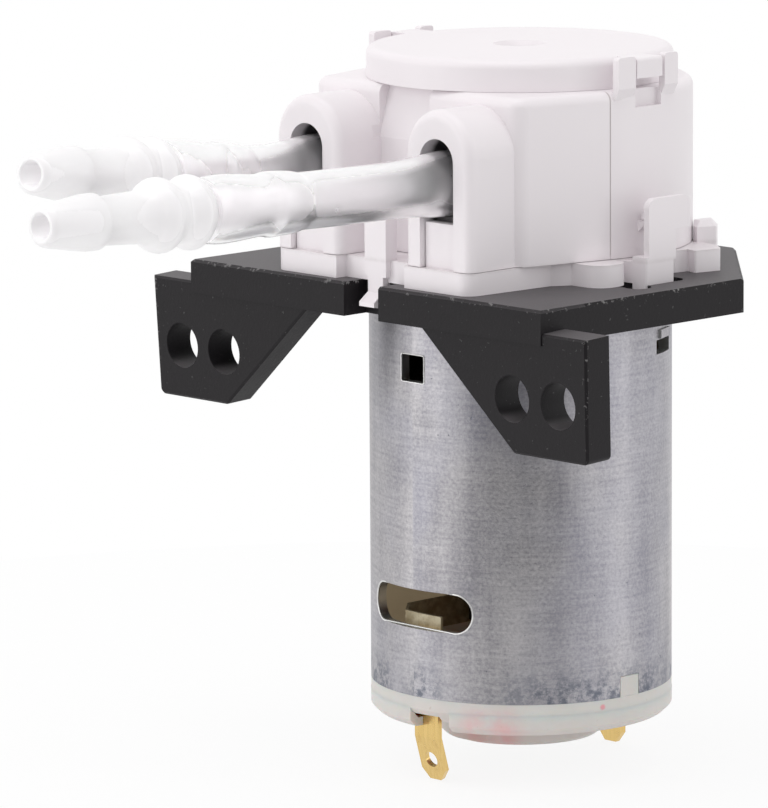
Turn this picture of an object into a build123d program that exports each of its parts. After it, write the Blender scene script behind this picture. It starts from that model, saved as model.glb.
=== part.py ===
from build123d import *
from math import cos, degrees, radians, sin
import os

# Small 12 V tubing pump: a white pump head and a DC motor on the two sides of a black bracket.
# The motor's shaft presses three rollers outward, and they roll along one clear tube that lies in
# the round track of the head, so the tube is squeezed forward from one stub to the other.
#
# Every piece is drawn about the motor's axis: z = 0 is the top face of the bracket, the tubes
# leave towards -Y, and +X is to the right of somebody who faces the tubes. When a piece is saved
# it is moved so that the origin is the centre of the four ear holes, in the ears' front face.

os.makedirs("parts", exist_ok=True)

# ---- driving dimensions, in millimetres ----
# bracket
plate_thick = 3.08
plate_half_width = 22.4
plate_front = -20.1
plate_back = 19.4
ear_half_width = 27.7
ear_thick = 2.9
ear_bottom = -13.1
ear_lean = 0.046              # how far the ears lean back, per unit of height
hole_z = -8.2
ear_face_y = plate_front - ear_lean * hole_z
hole_radius = 2.1
inner_hole_x = 18.5
outer_hole_x = 24.1
notch_half_width = 2.2

# head
shell_radius = 15.68
track_radius = 13.15
shell_low = 2.05              # a hair above the base plate
shell_top = 17.0
shell_rounding = 0.88
post_face = 15.9              # outer face of the thin posts and of the lid's lugs
recess_span = (-4.4, 2.0)
chamber_top = 14.9
lid_hole_radius = 12.0
seam_y = -3.95
seam_half_width = (shell_radius ** 2 - seam_y ** 2) ** 0.5
front_wall_y = -13.4
inner_front = -11.4
front_half_width = 12.9
tunnel_front = -18.8
tunnel_x = 8.3
tunnel_half_width = 4.1
slot_width = 4.2
slot_arch_z = 11.5
base_thick = 2.0
base_radius = 15.95
base_front = -18.95
lid_radius = 13.9
lid_top = 19.85

# tube and connectors
tube_radius = 2.5
bore_radius = 1.5
tube_z = 9.6
pinched_thick = 1.83
pinched_height = 7.2
squeezed_width = 4.1
squeezed_height = 5.8
barb_length = 11.0            # how much of a connector sits in the tube

# roller cage and rollers
roller_radius = 5.0
roller_count = 3
shaft_radius = 1.15
contact_gap = 0.05
roller_circle = shaft_radius + roller_radius + contact_gap
roller_low = 4.4
roller_high = 14.2
cage_radius = 10.4
pin_radius = 1.0
pin_clearance = 0.05
window_radius = 1.4           # round windows in the cage, between the rollers
window_x = 5.3

# motor
motor_radius = 13.8
can_wall = 1.0
can_top = -plate_thick
can_bottom = -38.35
vent_z = -30.3
vent_width = 12.4
vent_height = 3.6
cap_bottom = -40.5
boss_bottom = -43.6
screw_pitch = 17.0
terminal_y = 12.0


# ---- drawing helpers ----
def disc(radius, low, high, x=0.0, y=0.0):
    standing = (Align.CENTER, Align.CENTER, Align.MIN)
    return Pos(x, y, low) * Cylinder(radius, high - low, align=standing)


def block(x_span, y_span, z_span):
    middle = [(span[0] + span[1]) / 2 for span in (x_span, y_span, z_span)]
    size = [span[1] - span[0] for span in (x_span, y_span, z_span)]
    return Pos(*middle) * Box(*size)


def slab(points, low, high):
    """A flat piece with a straight-sided outline, seen from above."""
    return extrude(Pos(0, 0, low) * Polygon(*points, align=None), amount=high - low, dir=(0, 0, 1))


def across(sketch, y_span):
    """A sketch drawn in X and Z, given a thickness along Y."""
    near_side = Plane(origin=(0, y_span[0], 0), x_dir=(1, 0, 0), z_dir=(0, -1, 0))
    return extrude(near_side * sketch, amount=y_span[1] - y_span[0], dir=(0, 1, 0))


def turned(points):
    """A lathe-turned piece from its half section, as (radius, height) pairs."""
    return revolve(Plane.XZ * Polygon(*points, align=None), Axis.Z)


def ring(outer, inner, low, high):
    return disc(outer, low, high) - disc(inner, low - 1, high + 1)


def both_sides(piece):
    return piece + mirror(piece, about=Plane.YZ)


def upright_edges(piece):
    return piece.edges().filter_by(Axis.Z)


def around(count, first=90.0):
    return [first + 360.0 * turn / count for turn in range(count)]


def save(name, piece):
    solids = piece.solids()
    placed = Pos(0, -ear_face_y, -hole_z) * (solids[0] if len(solids) == 1 else Compound(solids))
    placed.label = name
    export_step(placed, f"parts/{name}.step")


# ---- bracket ----
def make_bracket():
    """Flat plate with cut rear corners, a front notch, and two ears with diagonal webs."""
    outline = [(8.7, plate_back), (plate_half_width, 5.7), (plate_half_width, plate_front)]
    outline += [(-x, y) for x, y in reversed(outline)]
    plate = slab(outline, -plate_thick, 0)
    plate = fillet(upright_edges(plate).group_by(Axis.Y)[-1], 1.0)
    plate = chamfer(plate.faces().sort_by(Axis.Z)[-1].edges(), 0.25)

    web = Polygon((7.3, -plate_thick), (7.3, -0.3), (plate_half_width, -0.3), (plate_half_width, -2.04),
                  (ear_half_width, -2.04), (ear_half_width - 0.25, ear_bottom), (18.4, ear_bottom),
                  align=None)
    web = fillet(web.vertices().sort_by(Axis.Y)[:2], 0.6)
    ear = across(web, (plate_front, plate_front + ear_thick))
    ear = chamfer(ear.faces().sort_by(Axis.Y)[0].edges(), 0.2)
    ear = Pos(0, plate_front, 0) * Rot(X=degrees(ear_lean)) * Pos(0, -plate_front, 0) * ear
    bracket = plate + both_sides(ear)

    for x in (inner_hole_x, outer_hole_x):
        for side in (1, -1):
            bracket -= Pos(side * x, plate_front, hole_z) * Rot(X=90) * Cylinder(hole_radius, 12)
    bracket -= block((-notch_half_width, notch_half_width), (plate_front - 1, plate_front + 2.75),
                     (-plate_thick - 1, 1))
    bracket -= disc(3.4, -plate_thick - 1, 1)
    slot = Pos(17.25, -1.6) * RectangleRounded(3.4, 7.6, 1.2) + Pos(18.9, -4.3) * Circle(1.2)
    clip_slot = extrude(Pos(0, 0, -plate_thick - 1) * slot, amount=plate_thick + 2)
    bracket -= both_sides(clip_slot)
    for side in (1, -1):
        bracket -= disc(1.5, -plate_thick - 1, 1, x=side * screw_pitch / 2)
        # step in the plate's side, behind the ear
        bracket -= block(sorted((side * (plate_half_width - 0.25), side * 25)),
                         (plate_front + 5.6, plate_back), (-plate_thick - 1, 1))
    return bracket


# ---- base plate ----
def make_base_plate():
    """Plate under the head: front blocks, rounded side tabs, rear wings, snap arms and hook."""
    step_x = 4.35
    half = [(0, -17.7), (step_x, -17.7), (step_x, base_front), (12.35, base_front), (12.7, -13.0),
            (13.3, -5.0), (10, 0), (0, 0)]
    front = slab(half, 0, base_thick)
    front = fillet(upright_edges(front).filter_by_position(Axis.X, 12, 12.5), 1.4)
    front = both_sides(front)
    plate = front + disc(base_radius, 0, base_thick)

    tab = extrude(Pos(14.6, -5.65) * RectangleRounded(5.9, 4.0, 1.7), amount=base_thick)
    wing = slab([(11, 4.2), (15.4, 4.2), (15.65, 5.6), (16.8, 5.3), (17.4, 7.95), (17.0, 8.4),
                 (15.7, 9.3), (13.1, 9.9), (11.5, 10.4)], 0, base_thick)
    wing = fillet(upright_edges(wing).filter_by_position(Axis.X, 16.5, 18), 0.2)
    rib = slab([(11.6, 9.9), (13.4, 9.2), (14.2, 10.8), (13.3, 12.0), (12.0, 13.0)], 0, 3.9)
    rib = chamfer(rib.faces().sort_by(Axis.Z)[-1].edges(), 0.5)
    plate += both_sides(tab + wing + (rib - disc(shell_radius + 0.1, base_thick, 5)))
    plate -= disc(1.7, -1, base_thick + 1)

    # filler blocks close the tunnels from below and carry the tube
    filler = block((tunnel_x - 1.95, tunnel_x + 1.95), (tunnel_front + 0.6, -12.0), (0, 6.05))
    filler += block((tunnel_x - 2.6, tunnel_x + 2.6), (-16.6, -12.0), (0, 6.4))
    plate += both_sides(filler)

    # post between the tunnels, ending below in a hook through the bracket's notch
    post = block((-1.35, 1.35), (-18.3, -16.9), (0.5, 7.0))
    post = fillet(post.faces().sort_by(Axis.Z)[-1].edges(), 0.4)
    hook_profile = Polygon((-18.3, 1.0), (-18.3, -0.9), (-19.4, -1.7), (-19.4, -2.1), (-17.4, -2.45),
                           (-17.4, 1.0), align=None)
    hook = Pos(-0.95, 0, 0) * extrude(Plane.YZ * hook_profile, amount=1.9, dir=(1, 0, 0))
    plate += post + hook

    return plate + both_sides(make_snap_arm()) - screw_recesses()


def make_snap_arm():
    """Thin arm that stands off the shell and hooks over its lug. Its foot sits in the bracket's slot."""
    inside, outside = 18.05, 18.7
    half_width = 2.65
    neck = block((inside, outside), (-half_width, 0.8), (2.0, 6.0))
    head = block((inside, outside), (-half_width, half_width), (4.7, 7.6))
    head = fillet(head.edges().filter_by(Axis.X).group_by(Axis.Z)[-1], 0.9)
    foot = block((17.0, outside), (-3.0, 0.65), (-0.5, 2.4))
    foot = fillet(foot.edges().filter_by(Axis.Z).group_by(Axis.X)[-1], 0.25)
    tongue = block((17.0, 18.2), (-1.1, 0.4), (-1.4, 0.5))
    root = block((14.5, 17.4), (-3.0, 0.65), (0, base_thick - 0.1))
    catch = Polygon((18.1, 7.1), (18.1, 5.4), (15.95, 5.4), (15.95, 5.9), align=None)
    catch = across(catch, (-0.8, 1.6))
    return neck + head + root + foot + tongue + catch


def screw_recesses():
    """Countersunk holes for the two screws that hold the head and bracket to the motor."""
    cone = turned([(0, base_thick + 0.1), (2.5, base_thick + 0.1), (2.5, base_thick - 0.2),
                   (1.35, 0.7), (1.35, -1), (0, -1)])
    return Pos(screw_pitch / 2, 0, 0) * cone + Pos(-screw_pitch / 2, 0, 0) * cone


# ---- shells of the head ----
def chamber():
    """Space for the rollers and the tube: the round track, opened towards the two tunnels."""
    mouth = [(-11.8, inner_front), (11.8, inner_front), (12.9, seam_y), (-12.9, seam_y)]
    space = disc(track_radius, 0, chamber_top) + slab(mouth, 0, chamber_top)
    space += disc(lid_hole_radius, chamber_top - 1, shell_top + 1)
    return space - block((-20, 20), (-20, inner_front), (-1, 20))


def make_rear_housing():
    """Round shell behind the seam. Its inner wall is the track that the tube is pressed on."""
    shell = disc(shell_radius, shell_low, shell_top)
    shell = fillet(shell.faces().sort_by(Axis.Z)[-1].edges(), shell_rounding)
    lug = across(Polygon((15.3, 3.9), (15.3, 5.25), (16.35, 5.25), (16.35, 4.9), align=None), (-0.9, 1.6))
    shell += both_sides(lug + make_lid_posts())
    # shallow window below each lug of the lid
    window = block((14.95, 17), (-1.2, 2.2), (15.4, shell_top + 0.1))
    shell -= both_sides(window)
    shell -= chamber()
    shell -= block((-20, 20), (-25, seam_y + 0.04), (0, 25))
    # grooves for the tongues of the front shell
    shell -= both_sides(block((14.1, 14.8), (seam_y - 1, seam_y + 0.75), (0, shell_top - 1.2)))
    return shell


def make_lid_posts():
    """Two thin posts on the shoulder's rim, clear of the lid, with one of its lugs between them."""
    inside, high = 15.2, 20.0
    profile = Polygon((inside, high), (post_face, high), (post_face, 17.2), (15.4, 16.2), (14.6, 16.2),
                      (14.6, 16.85), (inside, 16.85), align=None)
    front_post = across(profile, (-3.6, -1.4))
    rear_post = across(profile, (2.3, 4.0))
    top_corners = (front_post + rear_post).edges().filter_by(Axis.X).group_by(Axis.Z)[-1]
    return fillet(top_corners, 0.3)


def make_front_housing():
    """Shell in front of the seam, with the two tunnels that the tube comes out of."""
    side = front_half_width
    outline = Polygon((-seam_half_width, seam_y), (-side, front_wall_y), (side, front_wall_y),
                      (seam_half_width, seam_y), align=None)
    outline = fillet(outline.vertices().sort_by(Axis.Y)[:2], 1.6)
    body = extrude(Pos(0, 0, shell_low) * outline, amount=shell_top - shell_low)
    rim = body.faces().sort_by(Axis.Z)[-1].edges().sort_by(Axis.Y)[:-1]
    body = fillet(rim, shell_rounding)

    tunnel = make_tunnel()
    body += both_sides(tunnel)

    # sloped recess in the front wall, between the tunnels
    slope = Polygon((front_wall_y - 1, shell_top + 0.1), (front_wall_y + 1.3, shell_top + 0.1),
                    (front_wall_y, 12.2), (front_wall_y - 1, 12.2), align=None)
    recess_width = recess_span[1] - recess_span[0]
    body -= Pos(recess_span[0], 0, 0) * extrude(Plane.YZ * slope, amount=recess_width, dir=(1, 0, 0))

    body -= chamber()
    body -= both_sides(make_tunnel_passage())
    tongue = block((14.15, 14.75), (seam_y - 0.6, seam_y + 0.7), (shell_low, shell_top - 1.3))
    return body + both_sides(tongue)


def make_tunnel():
    """Boss around one end of the tube: straight sides, an arched top and rounded front edges."""
    arch_z = 12.05
    profile = Pos(tunnel_x, (arch_z + shell_low) / 2) * Rectangle(2 * tunnel_half_width,
                                                                  arch_z - shell_low)
    profile += Pos(tunnel_x, arch_z) * Circle(tunnel_half_width)
    boss = across(profile, (tunnel_front, -12.4))
    return fillet(boss.faces().sort_by(Axis.Y)[0].edges().sort_by(Axis.Z)[1:], 0.9)


def make_tunnel_passage():
    """Narrow arched slot in the front lip, and a wider way behind it, both open below."""
    slot = Pos(tunnel_x, slot_arch_z / 2) * Rectangle(slot_width, slot_arch_z)
    slot += Pos(tunnel_x, slot_arch_z) * Circle(slot_width / 2)
    wide = 2.75
    way = Pos(tunnel_x, (slot_arch_z - 0.5) / 2) * Rectangle(2 * wide, slot_arch_z - 0.5)
    way += Pos(tunnel_x, slot_arch_z - 0.5) * Circle(wide)
    return across(slot, (tunnel_front - 1, -11)) + across(way, (-17.0, -11))


def make_top_cover():
    """Lid: a shallow cup turned upside down, ribbed inside, with a centre hole and two lugs."""
    spigot = lid_hole_radius - 0.06
    lid = turned([(0, lid_top), (lid_radius, lid_top), (lid_radius, shell_top + 0.02),
                  (spigot, shell_top + 0.02), (spigot, 16.3), (10.9, 16.3), (10.9, 18.3), (0, 18.3)])
    lid = fillet(lid.faces().sort_by(Axis.Z)[-1].edges(), 0.8)
    lid -= block((-15, 15), (-15, inner_front + 0.06), (16, shell_top + 0.02))
    lug = block((13.2, post_face), (-1.25, 2.0), (18.0, lid_top - 0.05))
    lug = fillet(lug.edges().filter_by(Axis.Y).group_by(Axis.X)[-1].group_by(Axis.Z)[-1], 0.3)
    lid += both_sides(lug)
    lid += disc(3.4, 16.3, 18.6)
    for angle in around(6, 0):
        lid += Rot(Z=angle) * block((3.0, 11.2), (-0.4, 0.4), (16.9, 18.6))
    lid -= disc(1.9, 15, 25)
    lid -= turned([(0, lid_top + 0.1), (2.5, lid_top + 0.1), (1.8, lid_top - 0.6), (0, lid_top - 0.6)])
    return lid


# ---- tube and connectors ----
def oval(x, y, turn, width, height):
    """Section of the tube where its path is turned from +Y towards +X by `turn` degrees."""
    along = (sin(radians(turn)), cos(radians(turn)), 0)
    sideways = (cos(radians(turn)), -sin(radians(turn)), 0)
    section = Rot(Z=90) * Circle(width / 2) if width == height else Ellipse(width / 2, height / 2)
    return Plane(origin=(x, y, tube_z), x_dir=sideways, z_dir=along) * section


# how the round tube is squeezed by the tunnel's lip and then flattened onto the track
band_radius = track_radius - 0.05 - pinched_thick / 2
band_start = -14.0
squeeze_stations = [
    (tunnel_x, -21.0, 0, 2 * tube_radius, 2 * tube_radius),
    (tunnel_x, tunnel_front - 0.2, 0, squeezed_width, squeezed_height),
    (tunnel_x, -16.9, 0, squeezed_width, squeezed_height),
    (tunnel_x + 0.05, -14.8, 2, 4.9, 5.1),
    (tunnel_x + 0.3, -12.2, 11, 4.6, 5.4),
    (tunnel_x + 1.35, -9.0, 20, 3.7, 6.1),
    (11.25, -6.0, 20, 2.45, 6.8),
    (band_radius * cos(radians(band_start)), band_radius * sin(radians(band_start)), -band_start,
     pinched_thick, pinched_height),
]


class Stub:
    """One free end of the tube: where it leaves the head, how it bends, and where it points."""

    def __init__(self, side, yaw, pitch, length):
        self.start = Vector(side * tunnel_x, squeeze_stations[0][1], tube_z)
        first = Vector(0, -1, 0)
        flat = Vector(sin(radians(yaw)), -cos(radians(yaw)), 0)
        heading = flat * cos(radians(pitch)) + Vector(0, 0, sin(radians(pitch)))
        bend_end = self.start + (first + heading) * (length / 2)
        self.bend = TangentArc(self.start, bend_end, tangent=(0, -1, 0))
        self.end_plane = Plane(origin=bend_end, z_dir=heading)

    def run(self, radius):
        """A round run of the stub, from the head to the connector's inner end."""
        return sweep(Plane(origin=self.start, z_dir=(0, -1, 0)) * Circle(radius), self.bend)


right_stub = Stub(1, 0.3, 1.6, 15.0)
left_stub = Stub(-1, 10.2, 6.3, 7.1)

# the two barbs that the tube is pushed over, from the connector's inner end outwards
inner_barbs = [(1.65, 0), (1.85, 0.25), (2.15, 3.3), (1.75, 3.5), (1.8, 4.4), (2.25, 8.2), (1.8, 8.4),
               (1.8, barb_length + 0.1)]


def make_connector_profile():
    """Half section of a connector, from its end inside the tube (z = 0) to its nose."""
    outline = Polyline((1.1, 0), *inner_barbs, (2.5, barb_length + 0.1))
    bump_one = ThreePointArc((2.5, 11.1), (3.25, 12.4), (2.55, 13.7))
    waist = Line((2.55, 13.7), (2.55, 14.5))
    bump_two = ThreePointArc((2.55, 14.5), (3.25, 16.0), (2.3, 17.5))
    nose = Polyline((2.3, 17.5), (2.05, 23.0), (2.42, 23.05), (2.42, 24.3), (1.85, 28.3), (1.5, 28.9),
                    (1.1, 29.0), (1.1, 0))
    return make_face(outline + bump_one + waist + bump_two + nose)


def make_connector(stub):
    body = revolve(Plane.XZ * make_connector_profile(), Axis.Z)
    return stub.end_plane * body


def make_stub(stub):
    """Free tube from the squeezed part to its end, stretched over the connector's barbs."""
    sleeve = turned([(0, -0.4), (2.3, -0.4), (2.55, 0), (2.74, 0.9), (2.85, 3.1), (2.68, 4.3),
                     (2.95, 8.0), (2.95, 9.7), (2.8, barb_length), (0, barb_length)])
    stretched = turned([(0, -0.5), (1.35, -0.5), *inner_barbs, (0, barb_length + 0.1)])
    return stub.run(tube_radius) + stub.end_plane * sleeve - stub.end_plane * stretched


def make_tube():
    """One silicone tube: two stubs, the squeezed stretches, and the flat band round the track."""
    outer = loft([oval(*station) for station in squeeze_stations])
    lumen = loft([oval(x, y, turn, width - 2.0, height - 2.0)
                  for x, y, turn, width, height in squeeze_stations[:-1]])
    tube = both_sides(outer)
    tube += revolve(oval(*squeeze_stations[-1]), Axis.Z, revolution_arc=180 - 2 * band_start)
    tube -= both_sides(lumen)
    for stub in (right_stub, left_stub):
        tube = tube + make_stub(stub) - stub.run(bore_radius)
    return tube


# ---- roller cage ----
roller_angles = around(roller_count)


def roller_places():
    return [(roller_circle * cos(radians(a)), roller_circle * sin(radians(a))) for a in roller_angles]


def make_roller(x, y):
    """Smooth roller with rounded ends and a shallow dish round its bore."""
    bore = pin_radius + pin_clearance
    section = [(bore, roller_low), (2.0, roller_low), (2.4, roller_low + 0.6), (3.8, roller_low + 0.6),
               (4.1, roller_low), (4.7, roller_low), (roller_radius, roller_low + 0.3)]
    middle = (roller_low + roller_high) / 2
    section += [(r, 2 * middle - z) for r, z in reversed(section)]
    return Pos(x, y, 0) * turned(section)


def make_lower_cage():
    """Bottom plate of the cage, with three posts that key into the top plate."""
    plate = disc(cage_radius, 2.55, 4.2) + ring(3.6, 1.35, 2.08, 2.6)
    plate = chamfer(plate.faces().sort_by(Axis.Z)[-1].edges(), 0.3)
    for angle in roller_angles:
        post = disc(1.35, 4.0, 14.4, x=8.65) + disc(0.8, 14.3, 15.6, x=8.65)
        plate += Rot(Z=angle + 60) * post
        plate -= Rot(Z=angle + 60) * disc(window_radius, 2, 5, x=window_x)
        plate -= Rot(Z=angle) * disc(pin_radius, 3.0, 5, x=roller_circle)
    return plate - disc(shaft_radius + 0.2, 0, 10)


def make_upper_cage():
    plate = disc(cage_radius, 14.42, 16.0)
    plate = chamfer(plate.faces().sort_by(Axis.Z)[-1].edges(), 0.4)
    for angle in roller_angles:
        plate -= Rot(Z=angle + 60) * disc(0.8, 14, 17, x=8.65)
        plate -= Rot(Z=angle + 60) * disc(window_radius, 14, 17, x=window_x)
        plate -= Rot(Z=angle) * disc(pin_radius, 14, 15.6, x=roller_circle)
    return plate - disc(shaft_radius + 0.06, 14, 17)


def make_roller_pins():
    pin = disc(pin_radius, 3.0, 15.6)
    pin = chamfer(pin.edges(), 0.2)
    return Compound([Pos(x, y, 0) * pin for x, y in roller_places()])


# ---- motor ----
def make_can():
    """Drawn steel can: closed at the top with a bearing boss, open at the bottom."""
    inner = motor_radius - can_wall
    can = turned([(0, can_top), (motor_radius, can_top), (motor_radius, can_bottom), (inner, can_bottom),
                  (inner, can_top - can_wall), (0, can_top - can_wall)])
    can = fillet(can.edges().filter_by(GeomType.CIRCLE).group_by(Axis.Z)[-1], 1.1)
    can += disc(3.0, can_top - 0.2, -0.9)
    can -= disc(2.0, -6, 0)
    for side in (1, -1):
        can -= disc(1.3, -6, 0, x=side * screw_pitch / 2)
        vent = Pos(0, vent_z) * SlotOverall(vent_width, vent_height)
        can -= across(vent, sorted((side * 10.0, side * 15.0)))
        # notch for the end cap's lug, and the lanced window near the top
        can -= block(sorted((side * 12, side * 15)), (-1.2, 1.2), (can_bottom - 1, can_bottom + 1.9))
        can -= Rot(Z=24.5) * block(sorted((side * 12, side * 15)), (-1.7, 1.7), (-7.7, -6.4))
        can += Rot(Z=24.5) * block(sorted((side * 13.2, side * 14.0)), (-1.2, 1.2), (-6.3, -5.5))
    can -= block((-1.45, 1.45), (-15, -12), (-9.6, -7.05))
    return can


def make_end_cap():
    """Nylon end cap: spigot in the can, chamfered rim, round boss for the rear bearing."""
    inner = motor_radius - can_wall
    cap = turned([(0, -38.4), (8.0, -38.4), (11.4, -38.0), (11.4, -35.2), (inner - 0.02, -35.2),
                  (inner - 0.02, can_bottom - 0.01), (motor_radius, can_bottom - 0.01),
                  (motor_radius, -39.5), (13.0, cap_bottom), (7.4, cap_bottom), (7.4, -43.2),
                  (7.1, -43.5), (3.6, -43.5), (3.4, boss_bottom), (0, boss_bottom)])
    for side in (1, -1):
        # flats on the boss, and the lugs that enter the can's notches
        cap -= block((-8, 8), sorted((side * 7.0, side * 9)), (-45, cap_bottom - 0.1))
        cap += block(sorted((side * 12.6, side * 13.75)), (-1.15, 1.15), (can_bottom - 0.5, -36.5))
        slot = block((-1.55, 1.55), (terminal_y - 0.27, terminal_y + 0.27), (-50, -30))
        cap -= slot if side > 0 else mirror(slot, about=Plane.XZ)
        notch = block((-2.6, 2.6), (10.6, 15), (-50, -40.0))
        cap -= notch if side > 0 else mirror(notch, about=Plane.XZ)
    cap += disc(3.0, -38.6, -37.2)
    return cap - disc(2.0, -42.0, -30) - disc(1.5, -45, -40)


def make_terminal(bend):
    """Brass solder lug: a strip through the cap, with a hole near its chamfered end."""
    strip = Polygon((-1.5, -32.4), (1.5, -32.4), (1.5, -45.6), (0.7, -46.6), (-0.7, -46.6), (-1.5, -45.6),
                    align=None)
    strip -= Pos(0, -44.6) * Circle(0.75)
    lug = across(strip, (terminal_y - 0.25, terminal_y + 0.25))
    if bend:
        crease = -42.4
        upper = lug & block((-5, 5), (0, 20), (crease, 0))
        lower = lug & block((-5, 5), (0, 20), (-60, crease))
        lower = Pos(0, terminal_y, crease) * Rot(X=bend) * Pos(0, -terminal_y, -crease) * lower
        elbow = Pos(0, terminal_y, crease) * Rot(Y=90) * Cylinder(0.25, 3.0)
        lug = upper + lower + elbow
    return lug


def make_brush_gear():
    """Two leaf arms, clipped to the terminals, and the carbon brushes that they press inward."""
    path = [(1.2, 11.74), (3.4, 11.5), (5.5, 9.2), (5.5, 1.7), (5.2, 1.7), (5.2, 9.1), (3.3, 11.2),
            (1.2, 11.44)]
    arm = slab(path, -34.0, -31.2)
    foot = block((-1.4, 1.5), (11.44, 11.74), (-35.1, -31.2))
    arm = arm + foot
    brush = block((3.25, 5.15), (-1.2, 1.6), (-33.8, -31.4)) - disc(3.25, -36, -28)
    arm = arm + block((5.2, 5.5), (-1.2, 1.7), (-34.0, -31.2))
    turn = Rot(Z=180)
    return Compound([arm, turn * arm]), Compound([brush, turn * brush])


def make_magnet():
    """Arc magnet of one pole, bonded to the inside of the can."""
    sector = slab([(0, 0), (20, -30), (20, 30)], -27.4, -9.2)
    magnet = ring(12.78, 10.75, -27.4, -9.2) & sector
    return magnet


def make_magnet_springs():
    """Two bent strips that push the magnets apart."""
    strip = ring(12.78, 12.38, -26.5, -10.5) & slab([(0, 0), (-8.0, 13.2), (8.0, 13.2)], -26.5, -10.5)
    return Compound([strip, Rot(Z=180) * strip])


pole_count = 5
core_span = (-26.0, -11.0)


def make_core():
    """Stack of laminations with five T-shaped poles."""
    low, high = core_span
    core = disc(4.2, low, high)
    for angle in around(pole_count):
        tooth = block((0, 9.0), (-1.3, 1.3), (low, high))
        tip = ring(10.2, 8.9, low, high) & slab([(0, 0), (12, -5.6), (12, 5.6)], low, high)
        core += Rot(Z=angle) * (tooth + tip)
    return core - disc(shaft_radius, -50, 20)


def make_windings(core):
    """Five coils of enamelled wire, wound round the roots of the poles."""
    low, high = core_span[0] - 2.3, core_span[1] + 2.0
    coils = None
    for angle in around(pole_count):
        coil = block((4.4, 8.6), (-3.0, 3.0), (low, high))
        coil = fillet(coil.edges(), 1.1) & slab([(0, 0), (12, -8.5), (12, 8.5)], low - 1, high + 1)
        coil = Rot(Z=angle) * coil
        coils = coil if coils is None else coils + coil
    return coils - core - disc(4.2, low, high)


def make_commutator():
    """Copper segments on a moulded hub, with a flange of solder tags."""
    hub = ring(3.15, shaft_radius, -34.6, -29.6) + ring(4.1, shaft_radius, -30.3, -29.6)
    for angle in around(5, 54):
        hub -= Rot(Z=angle) * block((2.6, 5), (-0.2, 0.2), (-35, -29))
    return hub


def make_screws():
    """Countersunk screws with a cross recess."""
    shank = turned([(0, 1.85), (2.3, 1.85), (2.3, 1.75), (1.2, 0.75), (1.2, -5.2), (0.9, -5.5), (0, -5.5)])
    recess = block((-1.3, 1.3), (-0.3, 0.3), (1.0, 3)) + block((-0.3, 0.3), (-1.3, 1.3), (1.0, 3))
    screw = shank - recess
    return Compound([Pos(side * screw_pitch / 2, 0, 0) * screw for side in (1, -1)])


# ---- build and save ----
save("mounting_bracket", make_bracket())
save("base_plate", make_base_plate())
save("rear_housing", make_rear_housing())
save("front_housing", make_front_housing())
save("top_cover", make_top_cover())
save("inlet_connector", make_connector(right_stub))
save("outlet_connector", make_connector(left_stub))
save("pump_tube", make_tube())
save("head_screws", make_screws())

save("lower_cage_plate", make_lower_cage())
save("upper_cage_plate", make_upper_cage())
save("roller_pins", make_roller_pins())
for number, (x, y) in enumerate(roller_places(), 1):
    save(f"roller_{number}", make_roller(x, y))

save("motor_can", make_can())
save("motor_end_cap", make_end_cap())
save("front_terminal", mirror(make_terminal(-16), about=Plane.XZ))
save("rear_terminal", make_terminal(0))
arms, brushes = make_brush_gear()
save("brush_arms", arms)
save("carbon_brushes", brushes)
save("front_bushing", ring(2.0, shaft_radius + 0.02, -4.9, -1.2))
save("rear_bushing", ring(2.0, shaft_radius + 0.02, -41.9, -38.2))
save("right_magnet", make_magnet())
save("left_magnet", mirror(make_magnet(), about=Plane.YZ))
save("magnet_springs", make_magnet_springs())
core = make_core()
save("armature_core", core)
save("armature_windings", make_windings(core))
save("commutator", make_commutator())
save("motor_shaft", chamfer(disc(shaft_radius, -42.4, 15.5).edges(), 0.2))
save("shaft_spacers", ring(2.2, shaft_radius, -8.6, -5.1) + ring(2.2, shaft_radius, -37.1, -34.7))
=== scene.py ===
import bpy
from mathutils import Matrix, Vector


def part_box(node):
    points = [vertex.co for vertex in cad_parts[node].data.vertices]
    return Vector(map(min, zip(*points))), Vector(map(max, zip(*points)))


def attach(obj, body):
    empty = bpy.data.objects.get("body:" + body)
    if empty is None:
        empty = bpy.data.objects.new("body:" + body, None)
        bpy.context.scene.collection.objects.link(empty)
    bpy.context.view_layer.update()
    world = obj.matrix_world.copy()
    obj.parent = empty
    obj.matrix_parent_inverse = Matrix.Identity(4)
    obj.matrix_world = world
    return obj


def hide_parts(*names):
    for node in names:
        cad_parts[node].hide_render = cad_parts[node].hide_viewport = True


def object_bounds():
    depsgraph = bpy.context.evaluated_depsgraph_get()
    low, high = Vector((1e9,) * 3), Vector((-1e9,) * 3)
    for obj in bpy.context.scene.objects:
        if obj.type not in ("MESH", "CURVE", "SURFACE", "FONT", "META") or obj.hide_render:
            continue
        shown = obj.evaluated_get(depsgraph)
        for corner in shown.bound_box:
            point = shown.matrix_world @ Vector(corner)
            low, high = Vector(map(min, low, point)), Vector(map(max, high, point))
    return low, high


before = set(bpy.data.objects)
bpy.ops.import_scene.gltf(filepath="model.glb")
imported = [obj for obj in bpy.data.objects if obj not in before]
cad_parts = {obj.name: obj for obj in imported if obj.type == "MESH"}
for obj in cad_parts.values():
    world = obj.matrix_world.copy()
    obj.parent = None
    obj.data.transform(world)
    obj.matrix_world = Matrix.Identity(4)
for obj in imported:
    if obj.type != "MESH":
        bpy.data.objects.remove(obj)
cad_box = [list(corner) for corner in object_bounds()]

import bpy
from math import cos, pi, radians, sin
from mathutils import Matrix, Vector

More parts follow.
